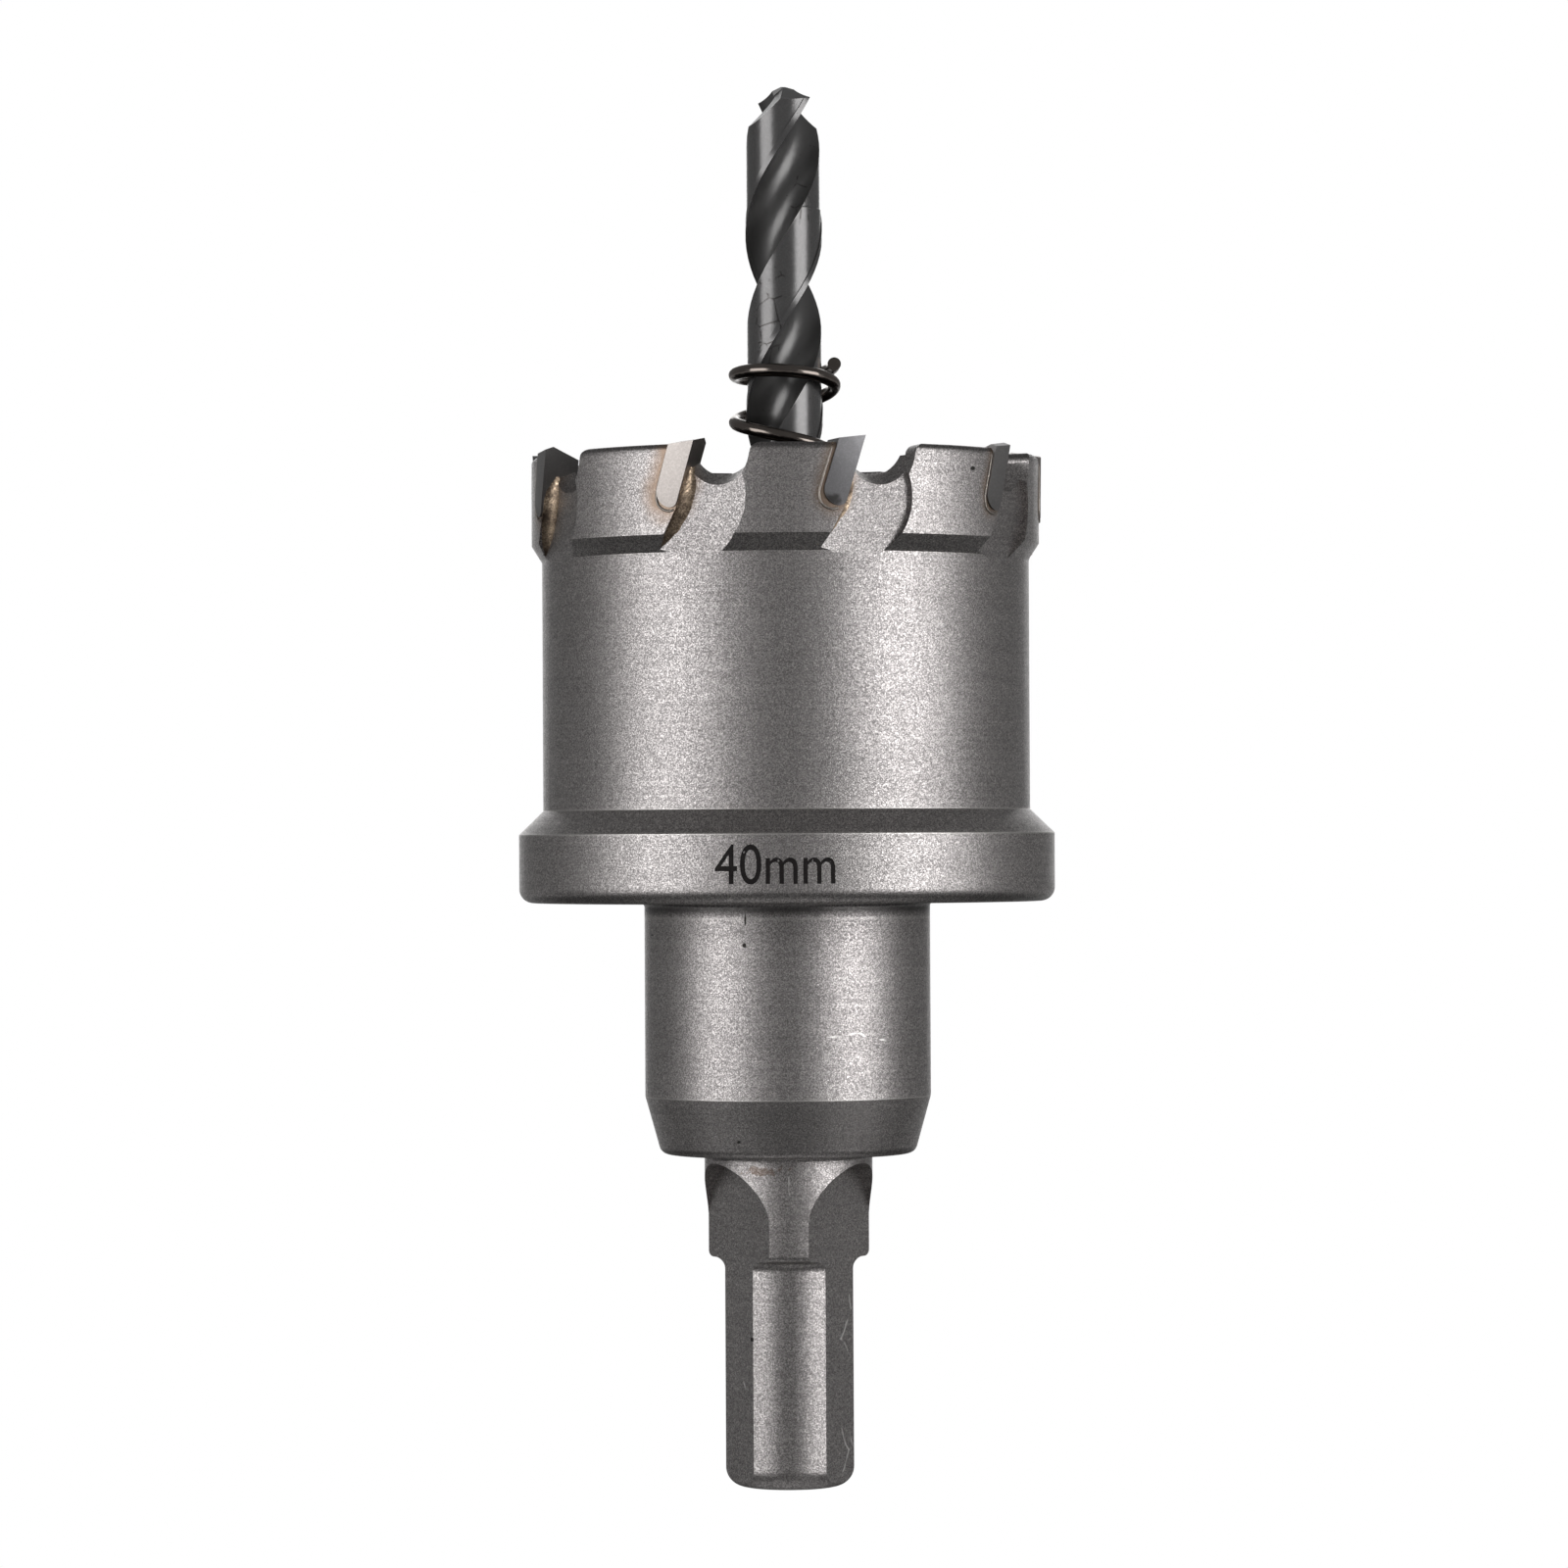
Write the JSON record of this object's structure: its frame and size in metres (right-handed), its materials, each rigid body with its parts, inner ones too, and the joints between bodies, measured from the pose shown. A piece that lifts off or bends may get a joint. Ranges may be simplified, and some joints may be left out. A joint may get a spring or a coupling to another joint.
{
  "type": "hole saw",
  "caption": "Carbide-tipped hole saw: toothed steel cup with a depth-stop flange, a twist pilot drill inside an ejector spring, and a stepped shank with flats for a chuck.",
  "frame": {"origin": "centre of the shank's end face, on the tool's axis", "axes": "+Z along the tool's axis from the shank to the drill point, -Y towards the strip between two shank flats that the picture shows, +X to the right of that view"},
  "size_m": [0.0418, 0.0418, 0.1092],
  "materials": {
    "body_steel": "turned and blasted steel, satin, with a fine even grain",
    "carbide": "ground cemented carbide, satin grey, with traces of braze",
    "drill_steel": "dark ground high-speed steel, glossy lands",
    "spring_steel": "black oiled spring wire, glossy",
    "screw_steel": "black oxide"
  },
  "bodies": {
    "root": {"cutter_body": "body_steel", "carbide_tip_1": "carbide", "carbide_tip_2": "carbide", "carbide_tip_3": "carbide", "carbide_tip_4": "carbide", "carbide_tip_5": "carbide", "carbide_tip_6": "carbide", "carbide_tip_7": "carbide", "carbide_tip_8": "carbide", "carbide_tip_9": "carbide", "pilot_drill": "drill_steel", "ejector_spring": "spring_steel", "grub_screw": "screw_steel"}
  },
  "joints": []
}
